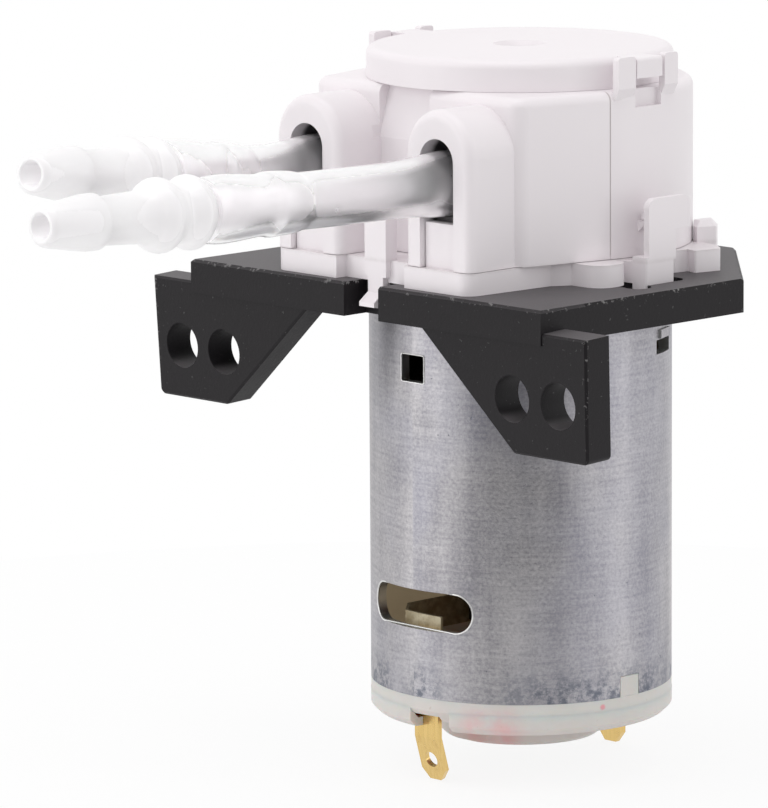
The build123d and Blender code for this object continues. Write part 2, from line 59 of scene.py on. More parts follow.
# ---- camera ----
# Long lens, a step to the right of the tubes' side and a little above the pump.
# The point it stands on and the way it is turned are in the pump's own frame.
camera_data = bpy.data.cameras.new("camera")
camera = bpy.data.objects.new("camera", camera_data)
bpy.context.collection.objects.link(camera)
camera_data.lens = 286.4
camera_data.clip_start = 0.05
camera_data.clip_end = 20
back = Vector((0.70918, -0.68466, 0.16832)).normalized()
level_right = Vector((-back.y, back.x, 0)).normalized()
level_up = back.cross(level_right)
roll = radians(-0.37)
right = level_right * cos(roll) + level_up * sin(roll)
up = level_up * cos(roll) - level_right * sin(roll)
stand = Vector((0.40742, -0.39094, 0.09378))
camera.matrix_world = Matrix.Translation(stand) @ Matrix((right, up, back)).transposed().to_4x4()
bpy.context.scene.camera = camera


# ---- motor can ----
# Deep-drawn steel cup, zinc plated, closed at the top and crimped on the end cap below.
# Its vents and windows are punched. The plating is cloudy, with fine drawing lines round
# it, grey pits, bluish patches, and dark stains near the lower rim.


class Value:
    """One output of a shader node. Plain arithmetic on it lays down the nodes it takes."""

    def __init__(self, tree, socket):
        self.tree = tree
        self.socket = socket

    def math(self, operation, other=None, first=False):
        node = self.tree.nodes.new("ShaderNodeMath")
        node.operation = operation
        terms = [self] if other is None else ([other, self] if first else [self, other])
        for place, term in zip(node.inputs, terms):
            plug(self.tree, place, term)
        return Value(self.tree, node.outputs[0])

    def __add__(self, other):
        return self.math("ADD", other)

    def __radd__(self, other):
        return self.math("ADD", other)

    def __sub__(self, other):
        return self.math("SUBTRACT", other)

    def __rsub__(self, other):
        return self.math("SUBTRACT", other, first=True)

    def __mul__(self, other):
        return self.math("MULTIPLY", other)

    def __rmul__(self, other):
        return self.math("MULTIPLY", other)

    def __pow__(self, other):
        return self.math("POWER", other)

    def over(self, low, high):
        """0 below low, 1 above high, and a smooth rise between them."""
        return self.tree.make("ShaderNodeMapRange", dict(interpolation_type="SMOOTHSTEP"),
                              Value=self, **{"From Min": low, "From Max": high})


def plug(tree, place, term):
    """Link a Value to a socket, or write a plain number or colour on it."""
    if isinstance(term, Value):
        tree.links.new(term.socket, place)
    else:
        place.default_value = term


class Finish:
    """A material being written: its node tree, its shader, and the ways to add nodes to it."""

    def __init__(self, name):
        self.material = bpy.data.materials.new(name)
        self.material.use_nodes = True
        self.tree = self.material.node_tree
        self.nodes = self.tree.nodes
        self.links = self.tree.links
        self.shader = self.nodes["Principled BSDF"]

    def make(self, kind, settings=None, output=0, **sockets):
        """Any node. Its sockets go by name, or by number as _0, _1 and so on."""
        node = self.nodes.new(kind)
        for name, setting in (settings or {}).items():
            setattr(node, name, setting)
        for name, term in sockets.items():
            numbered = name[0] == "_" and name[1:].isdigit()
            plug(self, node.inputs[int(name[1:]) if numbered else name], term)
        return Value(self, node.outputs[output])

    def place(self):
        return self.make("ShaderNodeTexCoord", output="Object")

    def facing(self):
        return self.make("ShaderNodeNewGeometry", output="Normal")

    def parts(self, vector):
        """The x, y and z of a vector."""
        return [self.make("ShaderNodeSeparateXYZ", output=number, Vector=vector) for number in range(3)]

    def noise(self, size, detail=3.0, roughness=0.5, stretch=(1, 1, 1), seed=0.0, where=None):
        """Cloudy noise whose blotches are about `size` metres across."""
        stretched = self.make("ShaderNodeVectorMath", dict(operation="MULTIPLY"),
                              _0=where or self.place(), _1=stretch)
        return self.make("ShaderNodeTexNoise", dict(noise_dimensions="4D"), Vector=stretched, W=seed,
                         Scale=1 / size, Detail=detail, Roughness=roughness)

    def mix(self, share, one, two):
        return self.make("ShaderNodeMix", dict(data_type="RGBA"), output=2, _0=share, _6=one, _7=two)

    def bump(self, height, strength, depth):
        return self.make("ShaderNodeBump", Height=height, Strength=strength, Distance=depth)

    def set(self, **sockets):
        """Sockets of the shader itself."""
        for name, term in sockets.items():
            plug(self, self.shader.inputs[name.replace("_", " ")], term)


def dress(finish, *nodes):
    """Give CAD nodes this finish in place of their plain one."""
    for name in nodes:
        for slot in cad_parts[name].material_slots:
            slot.material = finish.material


can_low, can_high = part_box("motor_can")
axis_y = (can_low.y + can_high.y) / 2
can_radius = (can_high.x - can_low.x) / 2


def round_the_axis(finish):
    """Distance round the motor's axis, height, and how far a face looks outward."""
    x, y, z = finish.parts(finish.place())
    y = y - axis_y
    turn = x.math("ARCTAN2", y)
    face_x, face_y, _ = finish.parts(finish.facing())
    outward = (face_x * x + face_y * y).math("DIVIDE", (x * x + y * y) ** 0.5)
    return turn * can_radius, z, outward


zinc = Finish("zinc_plated_can")
arc, height, outward = round_the_axis(zinc)
wrapped = zinc.make("ShaderNodeCombineXYZ", X=arc, Y=height)


def on_the_wall(size, stretch, **shape):
    """Noise laid on the can's unrolled wall, stretched round it or along it."""
    return zinc.noise(size, stretch=stretch, where=wrapped, **shape)


clouds = on_the_wall(0.007, (1.0, 0.6, 1), detail=5, roughness=0.62)
grain = on_the_wall(0.00032, (1.0, 1.0, 1), detail=3, roughness=0.7, seed=2)
lines = on_the_wall(0.0005, (0.09, 1.6, 1), detail=3, roughness=0.6, seed=4)
streaks = on_the_wall(0.0035, (1.0, 0.12, 1), detail=3, seed=7)
pits = on_the_wall(0.0009, (1, 1, 1), detail=4, roughness=0.7, seed=11).over(0.66, 0.74)
stain = on_the_wall(0.0011, (1, 1, 1), detail=5, roughness=0.8, seed=15).over(0.43, 0.60)
tint = on_the_wall(0.011, (1, 0.7, 1), detail=3, seed=19).over(0.4, 0.65)
splashed = on_the_wall(0.012, (1, 0.3, 1), detail=2, seed=23).over(0.38, 0.54)
low_down = (1 - height.over(can_low.z + 0.0005, can_low.z + 0.0042)) * splashed
shade = 0.8 * (clouds - 0.5) + (grain - 0.5) + 0.5 * (lines - 0.5) + 0.8 * (streaks - 0.5)
zinc_colour = zinc.mix((shade + 0.5).over(0.0, 1.0), (0.22, 0.214, 0.238, 1), (0.58, 0.562, 0.57, 1))
zinc_colour = zinc.mix(0.2 * tint, zinc_colour, (0.34, 0.35, 0.46, 1))
zinc_colour = zinc.mix(0.6 * pits + 0.75 * stain * low_down, zinc_colour, (0.10, 0.12, 0.16, 1))
bare_steel = 1 - outward.over(0.3, 0.7)
zinc_colour = zinc.mix(bare_steel, zinc_colour, (0.66, 0.66, 0.65, 1))
inside = 1 - outward.over(-0.7, -0.3)
zinc_colour = zinc.mix(inside, zinc_colour, (0.75, 0.66, 0.46, 1))
vent_top = can_low.z + 0.011
# a faint glow on the inside wall, to stand for the light that the vents let in
near_vents = inside * (1 - height.over(vent_top, vent_top + 0.003))
zinc.set(Base_Color=zinc_colour, Metallic=1 - 0.9 * inside, Emission_Strength=0.085,
         Emission_Color=zinc.mix(near_vents, (0, 0, 0, 1), (1.0, 0.80, 0.52, 1)),
         Roughness=0.34 + 0.16 * clouds + 0.16 * (grain - 0.5) + 0.15 * pits + 0.12 * low_down * stain,
         Normal=zinc.bump(0.8 * grain + 0.15 * lines + 0.4 * clouds - 0.8 * pits, 0.5, 0.00006))
dress(zinc, "motor_can")

# ---- punched edges of the can ----
# The punch leaves a thin rolled lip round each vent and round the square window of the can.
# It is the can's own steel, rubbed bright, and stands a tenth of a millimetre proud.
bright_edge = Finish("rubbed_steel_edge")
rubbing = bright_edge.noise(0.0006, detail=3)
bright_edge.set(Base_Color=bright_edge.mix(rubbing, (0.58, 0.58, 0.57, 1), (0.86, 0.86, 0.85, 1)),
                Metallic=1.0, Roughness=0.3 + 0.25 * rubbing, Normal=bright_edge.bump(rubbing, 0.4, 0.00004))


def add_mesh(name, points, faces, finish):
    """A new smooth mesh in one finish."""
    mesh = bpy.data.meshes.new(name)
    mesh.from_pydata(points, [], faces)
    mesh.shade_smooth()
    mesh.materials.append(finish.material)
    piece = bpy.data.objects.new(name, mesh)
    bpy.context.collection.objects.link(piece)
    return piece


def punched_lip(name, side, half_length, half_height, corner, middle_z):
    """A thin bead that follows a rounded slot over the can's round wall."""
    corner_steps, bead_sides, bead_radius, sunk = 8, 8, 0.00011, 0.00003
    outline = []
    for quarter, (along, up) in enumerate(((1, 1), (-1, 1), (-1, -1), (1, -1))):
        for step in range(corner_steps + 1):
            turn = (quarter + step / corner_steps) * pi / 2
            outline.append((along * (half_length - corner) + corner * cos(turn),
                            up * (half_height - corner) + corner * sin(turn)))
    points, faces = [], []
    for number, (along, up) in enumerate(outline):
        ahead, behind = outline[(number + 1) % len(outline)], outline[number - 1]
        way = Vector((ahead[0] - behind[0], ahead[1] - behind[1])).normalized()
        for part in range(bead_sides):
            turn = 2 * pi * part / bead_sides
            proud, beside = bead_radius * sin(turn), 0.8 * bead_radius * cos(turn)
            round_wall = (along - way.y * beside) / can_radius
            reach = can_radius - sunk + proud
            points.append((side * reach * sin(round_wall), axis_y - side * reach * cos(round_wall),
                           middle_z + up + way.x * beside))
            here, there = number * bead_sides, (number + 1) % len(outline) * bead_sides
            after = (part + 1) % bead_sides
            faces.append((here + part, there + part, there + after, here + after))
    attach(add_mesh(name, points, faces, bright_edge), "pump")


vent_z = can_high.z - 0.0294
punched_lip("front_vent_lip", 1, 0.00637, 0.0018, 0.00179, vent_z)
punched_lip("rear_vent_lip", -1, 0.00637, 0.0018, 0.00179, vent_z)
punched_lip("square_window_lip", 1, 0.00146, 0.00128, 0.0002, can_high.z - 0.007425)

# ---- inside the can ----
# Ferrite magnets held by spring clips, the wound armature on its ground shaft, two sintered
# bushings, the commutator, and carbon brushes on leaf arms. The vents show a little of them.
ferrite = Finish("ferrite")
ferrite_grain = ferrite.noise(0.0004, detail=4, roughness=0.7)
ferrite.set(Base_Color=ferrite.mix(ferrite_grain, (0.035, 0.035, 0.037, 1), (0.075, 0.073, 0.072, 1)),
            Roughness=0.55 + 0.2 * ferrite_grain, Normal=ferrite.bump(ferrite_grain, 0.4, 0.00005))
dress(ferrite, "left_magnet", "right_magnet")

laminations = Finish("laminated_core")
core_height = laminations.parts(laminations.place())[2]
sheet_thickness = 0.0005
sheets = (core_height * (1 / sheet_thickness)).math("FRACT").over(0.0, 0.35)
core_rust = laminations.noise(0.002, detail=4)
core_colour = laminations.mix(core_rust.over(0.5, 0.7), (0.24, 0.24, 0.25, 1), (0.2, 0.15, 0.11, 1))
laminations.set(Base_Color=core_colour, Metallic=1.0, Roughness=0.45 + 0.2 * core_rust,
                Normal=laminations.bump(sheets, 0.6, 0.0001))
dress(laminations, "armature_core")

enamel = Finish("enamelled_wire")
strand_pitch = 0.0019
strands = enamel.make("ShaderNodeTexWave", dict(wave_type="BANDS", bands_direction="Z"), output="Fac",
                      Vector=enamel.place(), Scale=1 / strand_pitch, Distortion=1.2, Detail=1.0)
enamel.set(Base_Color=enamel.mix(strands, (0.16, 0.05, 0.02, 1), (0.55, 0.24, 0.09, 1)), Metallic=1.0,
           Roughness=0.32, Coat_Weight=0.6, Normal=enamel.bump(strands, 0.8, 0.0002))
dress(enamel, "armature_windings")

copper = Finish("worn_copper")
wear_rings = copper.noise(0.0003, detail=2, stretch=(0.05, 0.05, 1))
copper.set(Base_Color=copper.mix(wear_rings, (0.36, 0.2, 0.11, 1), (0.62, 0.36, 0.22, 1)), Metallic=1.0,
           Roughness=0.3 + 0.25 * wear_rings, Normal=copper.bump(wear_rings, 0.3, 0.00004))
dress(copper, "commutator")

leaf_brass = Finish("dull_leaf_brass")
leaf_stains = leaf_brass.noise(0.0012, detail=4, roughness=0.65)
leaf_colour = leaf_brass.mix(leaf_stains.over(0.35, 0.65), (0.36, 0.30, 0.19, 1), (0.58, 0.52, 0.38, 1))
leaf_brass.set(Base_Color=leaf_colour, Metallic=0.6, Roughness=0.4 + 0.25 * leaf_stains,
               Normal=leaf_brass.bump(leaf_stains, 0.3, 0.00005))
dress(leaf_brass, "brush_arms")

carbon = Finish("pressed_carbon")
soot = carbon.noise(0.0003, detail=3)
carbon.set(Base_Color=carbon.mix(soot, (0.02, 0.02, 0.021, 1), (0.05, 0.048, 0.046, 1)),
           Roughness=0.6 + 0.2 * soot, Normal=carbon.bump(soot, 0.3, 0.00004))
dress(carbon, "carbon_brushes")

ground = Finish("ground_steel")
grinding = ground.noise(0.0002, detail=2, stretch=(0.06, 0.06, 1.5))
ground.set(Base_Color=ground.mix(grinding, (0.5, 0.5, 0.51, 1), (0.66, 0.66, 0.67, 1)), Metallic=1.0,
           Roughness=0.2 + 0.15 * grinding, Normal=ground.bump(grinding, 0.2, 0.00003))
dress(ground, "motor_shaft", "roller_pins", "magnet_springs")

bronze = Finish("sintered_bronze")
pores = bronze.noise(0.00025, detail=3).over(0.58, 0.66)
bronze.set(Base_Color=bronze.mix(pores, (0.44, 0.3, 0.15, 1), (0.14, 0.09, 0.05, 1)), Metallic=1.0,
           Roughness=0.42 + 0.25 * pores, Normal=bronze.bump(1 - pores, 0.4, 0.00005))
dress(bronze, "front_bushing", "rear_bushing")

fibre = Finish("red_fibre")
fibre_flecks = fibre.noise(0.0003, detail=4)
fibre.set(Base_Color=fibre.mix(fibre_flecks, (0.22, 0.06, 0.03, 1), (0.4, 0.14, 0.07, 1)),
          Roughness=0.65 + 0.1 * fibre_flecks, Normal=fibre.bump(fibre_flecks, 0.3, 0.00005))
dress(fibre, "shaft_spacers")

# ---- end cap and terminals ----
# Natural nylon moulding that closes the can, with a round boss for the lower bushing and
# a dab of red marker on it. Two brass solder lugs, blanked from strip, are pushed up
# through slots in it.
cap_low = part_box("motor_end_cap")[0]
nylon = Finish("natural_nylon")
cap_x, cap_y, cap_z = nylon.parts(nylon.place())
cap_y = cap_y - axis_y
milk = nylon.noise(0.004, detail=4, roughness=0.6)
specks = nylon.noise(0.0006, detail=2, seed=5).over(0.68, 0.74)
dab_x, dab_y = 0.709, -0.685           # the way the dab of marker looks out from the axis
beside_dab = (cap_y * dab_x - cap_x * dab_y + 0.0030).math("ABSOLUTE")
dab_side = (cap_x * dab_x + cap_y * dab_y).over(0.002, 0.004)
dab_height = 1 - cap_z.over(cap_low.z + 0.0030, cap_low.z + 0.0058)
marker = (1 - beside_dab.over(0.0012, 0.0036)) * dab_side * dab_height
marker = marker * nylon.noise(0.002, detail=3, seed=9).over(0.25, 0.6)
dot_place = (0.01325, -0.0031, cap_low.z + 0.0046)
beside_dot = [(along - dot_along) ** 2.0 for along, dot_along in zip((cap_x, cap_y, cap_z), dot_place)]
dot = 1 - ((beside_dot[0] + beside_dot[1] + beside_dot[2]) ** 0.5).over(0.00022, 0.0004)
nylon_colour = nylon.mix(milk, (0.60, 0.56, 0.53, 1), (0.74, 0.71, 0.68, 1))
nylon_colour = nylon.mix(0.45 * marker.math("MAXIMUM", 1.9 * dot), nylon_colour, (0.82, 0.30, 0.33, 1))
nylon_colour = nylon.mix(0.25 * specks, nylon_colour, (0.4, 0.3, 0.2, 1))
nylon.set(Base_Color=nylon_colour, Roughness=0.38 + 0.12 * milk, Subsurface_Weight=0.25,
          Subsurface_Scale=0.002, Normal=nylon.bump(milk, 0.15, 0.0001))
dress(nylon, "motor_end_cap")

# the rim is a flat ring with two gaps for the lugs: radius and height of its section, in mm
rim_section = [(13.82, 1.25), (13.82, 0.0), (13.72, -0.14), (13.2, -0.62), (13.0, -0.68), (8.1, -0.68),
               (8.0, -0.6), (8.0, 0.1), (12.9, 0.1)]
rim_below_can, rim_arc, rim_steps = 2.3, 161.5, 48
corners, faces = [], []
for first_turn in (-73.5, 106.5):
    base = len(corners)
    for step in range(rim_steps + 1):
        turn = radians(first_turn + rim_arc * step / rim_steps)
        for radius, up in rim_section:
            corners.append((radius * cos(turn) / 1000, axis_y + radius * sin(turn) / 1000,
                            can_low.z + (up - rim_below_can) / 1000))
    count = len(rim_section)
    for step in range(rim_steps):
        for place in range(count):
            here, there, after = base + step * count, base + (step + 1) * count, (place + 1) % count
            faces.append((here + place, here + after, there + after, there + place))
    faces.append(tuple(range(base + count - 1, base - 1, -1)))
    faces.append(tuple(range(base + rim_steps * count, base + (rim_steps + 1) * count)))
cap_rim = add_mesh("cap_rim", corners, faces, nylon)
cap_rim.data.set_sharp_from_angle(angle=radians(35))
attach(cap_rim, "pump")

brass = Finish("bright_brass")
brass_lines = brass.noise(0.0003, detail=3, stretch=(1.5, 1.5, 0.08))
brass_tarnish = brass.noise(0.0015, detail=4, seed=3).over(0.5, 0.75)
brass_colour = brass.mix(brass_lines, (0.62, 0.42, 0.14, 1), (0.84, 0.62, 0.27, 1))
brass.set(Base_Color=brass.mix(0.4 * brass_tarnish, brass_colour, (0.40, 0.25, 0.08, 1)), Metallic=1.0,
          Roughness=0.24 + 0.2 * brass_tarnish, Normal=brass.bump(brass_lines, 0.25, 0.00004))
dress(brass, "front_terminal", "rear_terminal")

# ---- bracket ----
# Plate with two ears that hang down, moulded in one piece from black glass-filled nylon.
# Its skin is matte and grained with specks of dust, its up-facing deck is painted lighter as a painted
# sheen, and knocks have left pale nicks on the edges. Two screws hold it and the head to the face of the
# motor.
bracket_low, bracket_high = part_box("mounting_bracket")
deck = bracket_high.z
black = Finish("black_plastic")
bracket_x, bracket_y, bracket_z = black.parts(black.place())
facing_up = black.parts(black.facing())[2].over(0.6, 0.95)
skin = black.noise(0.00035, detail=3, roughness=0.65)
haze = black.noise(0.005, detail=4, seed=4)
dust = black.noise(0.0004, detail=2, seed=8).over(0.67, 0.74)
nick_noise = black.noise(0.0006, detail=3, roughness=0.7, seed=12).over(0.55, 0.64)
deck_edge = bracket_z.over(deck - 0.00045, deck - 0.0001) * (1 - facing_up)
ear_edge = bracket_x.math("ABSOLUTE").over(bracket_high.x - 0.0007, bracket_high.x - 0.0003)
ear_edge = ear_edge * (1 - bracket_y.over(bracket_low.y + 0.0002, bracket_low.y + 0.0007))
nicks = nick_noise * deck_edge.math("MAXIMUM", ear_edge)
black_colour = black.mix(haze, (0.0075, 0.0063, 0.0075, 1), (0.0155, 0.0135, 0.0155, 1))
# painted sheen: faces that look up are painted lighter, standing for the bright reflection on the deck
black_colour = black.mix(facing_up * (0.4 + 0.5 * haze), black_colour, (0.15, 0.14, 0.146, 1))
black_colour = black.mix(0.4 * dust, black_colour, (0.12, 0.12, 0.12, 1))
black.set(Base_Color=black.mix(0.5 * nicks, black_colour, (0.42, 0.41, 0.41, 1)),
          Roughness=0.46 + 0.14 * haze, Specular_IOR_Level=0.2,
          Normal=black.bump(skin + 0.6 * nicks, 0.5, 0.00006))
dress(black, "mounting_bracket")

# ---- white mouldings of the head ----
# Base plate, two shells and lid, injection moulded in white ABS and snapped together.
# They have a soft shine, faint flow clouds, fine scuffs, dirt in the shells' joint, and a thin darker band
# where the shells stand on the base plate.
abs_white = Finish("white_plastic")
flow = abs_white.noise(0.012, detail=3)
fine = abs_white.noise(0.0005, detail=3, roughness=0.6, seed=6)
scuffs = abs_white.noise(0.0008, detail=3, stretch=(1, 1, 0.15), seed=9).over(0.66, 0.76)
white_x, white_y, white_z = abs_white.parts(abs_white.place())
joint_y, shells_bottom, lid_bottom = axis_y - 0.00393, deck + 0.002, deck + 0.017
from_joint = (white_y - joint_y).math("ABSOLUTE")
joint = 1 - from_joint.over(0.00003, 0.00012)
joint = joint * white_z.over(shells_bottom, shells_bottom + 0.0006) * (0.45 + 0.55 * flow)
joint = joint * (1 - white_z.over(lid_bottom - 0.0001, lid_bottom))
# a thin band, speckled by fine noise, made darker where the shells stand on the base plate
darker_band_at_plate = (1 - white_z.over(deck + 0.00195, deck + 0.00235)) * white_z.over(deck + 0.0017, shells_bottom)
tunnel_x, tunnel_top = 0.0083, deck + 0.0142
tunnel_front, tunnel_back = axis_y - 0.0178, axis_y - 0.011
beside_tube = (white_x.math("ABSOLUTE") - tunnel_x).math("ABSOLUTE")
# painted nearly black, to stand for the deep shade inside the two tunnels
shaded = (1 - beside_tube.over(0.00275, 0.00295)) * white_y.over(tunnel_front, tunnel_front + 0.0009)
shaded = shaded * (1 - white_z.over(tunnel_top - 0.0003, tunnel_top))
shaded = shaded * (1 - white_y.over(tunnel_back - 0.0002, tunnel_back))
white_colour = abs_white.mix(flow, (0.85, 0.80, 0.825, 1), (0.885, 0.84, 0.862, 1))
white_colour = abs_white.mix(0.93 * shaded, white_colour, (0.05, 0.046, 0.048, 1))
white_colour = abs_white.mix(0.5 * joint + 0.25 * darker_band_at_plate * fine, white_colour, (0.30, 0.24, 0.22, 1))
abs_white.set(Base_Color=white_colour, Roughness=0.34 + 0.1 * fine + 0.15 * scuffs,
              Normal=abs_white.bump(0.6 * fine + 0.4 * flow + 0.3 * scuffs, 0.12, 0.00008))
dress(abs_white, "base_plate", "rear_housing", "front_housing", "top_cover")

# ---- roller cage and rollers ----
# Two acetal cage plates and three acetal rollers on steel pins, inside the closed head.
# The motor's shaft presses on all three rollers and turns them by friction.
acetal = Finish("white_acetal")
acetal_cloud = acetal.noise(0.003, detail=3)
rubbed = acetal.noise(0.0004, detail=2, stretch=(0.3, 0.3, 1), seed=3)
acetal.set(Base_Color=acetal.mix(acetal_cloud, (0.66, 0.66, 0.64, 1), (0.76, 0.76, 0.74, 1)),
           Roughness=0.26 + 0.1 * acetal_cloud + 0.08 * rubbed,
           Normal=acetal.bump(acetal_cloud + 0.5 * rubbed, 0.1, 0.00006))
dress(acetal, "lower_cage_plate", "upper_cage_plate", "roller_1", "roller_2", "roller_3")

# ---- head screws ----
# Two countersunk steel screws, zinc plated. They pass through the base plate and the
# bracket into the motor's face, under the roller cage.
plated = Finish("plated_screw")
plating = plated.noise(0.0006, detail=3)
plated.set(Base_Color=plated.mix(plating, (0.5, 0.51, 0.52, 1), (0.66, 0.67, 0.68, 1)), Metallic=1.0,
           Roughness=0.26 + 0.15 * plating, Normal=plated.bump(plating, 0.2, 0.00004))
dress(plated, "head_screws")

# ---- tube ----
# One clear silicone tube, 5 mm outside and 3 mm inside. It is pushed into the two tunnels,
# lies squeezed flat round the track, and each free end is stretched over a connector.
# Here sizes are in mm, from the motor's axis and the top of the bracket.
tube_radius, bore_radius = 2.5, 1.5
tube_x, tube_height, leaves_tunnel = 8.3, 9.6, -21.0
track = 12.185                  # radius of the middle of the flattened tube


def in_frame(point):
    """A point of the head, moved to the shared frame in metres."""
    return point.x / 1000, axis_y + point.y / 1000, deck + point.z / 1000


def free_end(side, yaw, pitch, length):
    """The bend of one free end, as a start, a corner and an end, and the way its end points."""
    start = Vector((side * tube_x, leaves_tunnel, tube_height))
    corner = start + Vector((0, -length / 2, 0))
    flat = cos(radians(pitch))
    heading = Vector((sin(radians(yaw)) * flat, -cos(radians(yaw)) * flat, sin(radians(pitch))))
    return start, corner, corner + heading * length / 2, heading


inlet_end = free_end(1, 0.3, 1.6, 15.0)
outlet_end = free_end(-1, 10.2, 6.3, 7.1)
# distance along the connector, and the stretched tube's radius outside and inside
sleeve = [(11.0, 2.72, 1.9), (10.93, 2.8, 1.84), (10.6, 2.84, 1.84), (9.7, 2.93, 1.85), (8.9, 2.95, 1.95),
          (8.2, 2.95, 2.28), (7.2, 2.90, 2.22), (5.9, 2.80, 2.05), (4.5, 2.69, 1.85), (3.7, 2.76, 1.9),
          (3.2, 2.85, 2.18), (2.2, 2.81, 2.07), (1.0, 2.75, 1.97), (0.3, 2.66, 1.9), (0.0, 2.60, 1.75),
          (-0.4, 2.53, 1.52)]
# the squeezed stretch in a tunnel: side and depth, then half sizes outside and inside
squeezed = [(8.3, -19.0, 2.05, 2.9, 1.05, 1.9), (8.3, -16.9, 2.05, 2.9, 1.05, 1.9),
            (8.35, -14.8, 2.45, 2.55, 1.45, 1.55), (8.6, -12.2, 2.3, 2.7, 1.3, 1.7),
            (9.65, -9.0, 1.85, 3.05, 0.85, 2.05), (11.25, -6.0, 1.225, 3.4, 0.3, 2.4)]


def half_tube(end, side):
    """Stations from the end of the tube to the track: middle, then half width and half height."""
    start, corner, tip, heading = end
    stations = [(tip + heading * along, outside, outside, inside, inside)
                for along, outside, inside in sleeve]
    bend_steps, squeezed_length = 12, 5
    for step in range(1, bend_steps + 1):
        share = 1 - step / bend_steps
        middle = start * (1 - share) ** 2 + corner * 2 * share * (1 - share) + tip * share ** 2
        squeeze = 0.2 * max(0.0, 1 - (middle - start).length / squeezed_length) ** 2
        stations.append((middle, tube_radius - squeeze, tube_radius + squeeze,
                         bore_radius - squeeze, bore_radius + squeeze))
    for x, y, *sizes in squeezed:
        stations.append((Vector((side * x, y, tube_height)), *sizes))
    return stations


stations = half_tube(inlet_end, 1)
on_track = (0.915, 3.6, 0.04, 2.6)     # half sizes where the rollers have flattened it
first_turn, track_arc, track_steps = -14, 208, 35
for step in range(track_steps + 1):
    turn = radians(first_turn + track_arc * step / track_steps)
    stations.append((Vector((track * cos(turn), track * sin(turn), tube_height)), *on_track))
stations += reversed(half_tube(outlet_end, -1))


def between(one, two, three, four, share):
    """Smooth curve from `two` to `three`, led by its neighbours."""
    return (two * 2 + (three - one) * share + (one * 2 - two * 5 + three * 4 - four) * share ** 2
            + (two * 3 - one - three * 3 + four) * share ** 3) * 0.5   # Catmull-Rom


smooth, parts = [], 3
for number in range(len(stations) - 1):
    near = [stations[max(0, min(len(stations) - 1, number + offset))] for offset in (-1, 0, 1, 2)]
    for part in range(parts):
        smooth.append([between(*(station[which] for station in near), part / parts) for which in range(5)])
smooth.append(list(stations[-1]))

sides = 40
corners, faces = [], []
for number, (middle, *half) in enumerate(smooth):
    along = smooth[min(number + 1, len(smooth) - 1)][0] - smooth[max(number - 1, 0)][0]
    across = along.cross(Vector((0, 0, 1))).normalized()
    upward = across.cross(along).normalized()
    for width, height in (half[:2], half[2:]):
        for corner in range(sides):
            turn = 2 * pi * corner / sides
            corners.append(in_frame(middle + across * width * cos(turn) + upward * height * sin(turn)))
last = len(smooth) - 1
for number in range(len(smooth)):
    outer = 2 * sides * number
    inner, next_outer, next_inner = outer + sides, outer + 2 * sides, outer + 3 * sides
    for corner in range(sides):
        after = (corner + 1) % sides
        if number < last:
            faces.append((outer + corner, outer + after, next_outer + after, next_outer + corner))
            faces.append((inner + after, inner + corner, next_inner + corner, next_inner + after))
        if number == 0:
            faces.append((outer + after, outer + corner, inner + corner, inner + after))
        if number == last:
            faces.append((outer + corner, outer + after, inner + after, inner + corner))

silicone = Finish("clear_silicone")
silicone_haze = silicone.noise(0.003, detail=3)
bloom = silicone.noise(0.0007, detail=3, roughness=0.7, seed=5)
tube_y = silicone.parts(silicone.place())[1]
# painted grey near the tunnels, to stand for the dark inside seen through the clear wall
near_tunnel = tube_y.over(axis_y - 0.0228, axis_y - 0.0208)
silicone_colour = silicone.mix(silicone_haze, (0.95, 0.935, 0.945, 1), (0.98, 0.965, 0.975, 1))
silicone.set(Base_Color=silicone.mix(0.62 * near_tunnel, silicone_colour, (0.27, 0.27, 0.29, 1)),
             Roughness=0.20 + 0.14 * silicone_haze + 0.08 * bloom, Transmission_Weight=0.83, IOR=1.2,
             Coat_Weight=0.5 + 0.3 * bloom, Coat_Roughness=0.15,
             Normal=silicone.bump(silicone_haze + 0.2 * bloom, 0.1, 0.0001))
tube = add_mesh("silicone_tube", corners, faces, silicone)
tube.visible_shadow = False
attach(tube, "pump")
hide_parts("pump_tube")

# ---- connectors ----
# Straight barbed connectors, moulded in natural polypropylene: two barbs under the tube,
# two round collars to grip, and a long tapered nose with a barb for the user's hose.
# The table gives radius and distance along, in mm.
bore = 1.1
lathe = [(bore + 0.15, 0), (1.6, 0), (1.85, 0.25), (2.14, 3.3), (1.77, 3.5), (1.8, 4.4), (2.24, 8.2),
         (1.8, 8.4), (1.8, 11.0), (2.35, 11.06)]
lathe += [(2.5 + 0.75 * sin(pi * step / 10), 11.1 + 0.26 * step) for step in range(1, 10)]
lathe += [(2.55, 13.75), (2.53, 14.1), (2.55, 14.45)]
lathe += [(2.55 - 0.02 * step + 0.8 * sin(pi * step / 10), 14.5 + 0.3 * step) for step in range(1, 10)]
lathe += [(2.32, 17.5), (2.2, 19.5), (2.06, 22.9), (2.14, 23.02), (2.38, 23.06), (2.43, 23.15), (2.42, 24.3),
          (2.12, 26.4), (1.85, 28.3), (1.72, 28.72), (1.5, 28.92), (1.25, 28.97), (bore, 28.88), (bore, 0.2)]

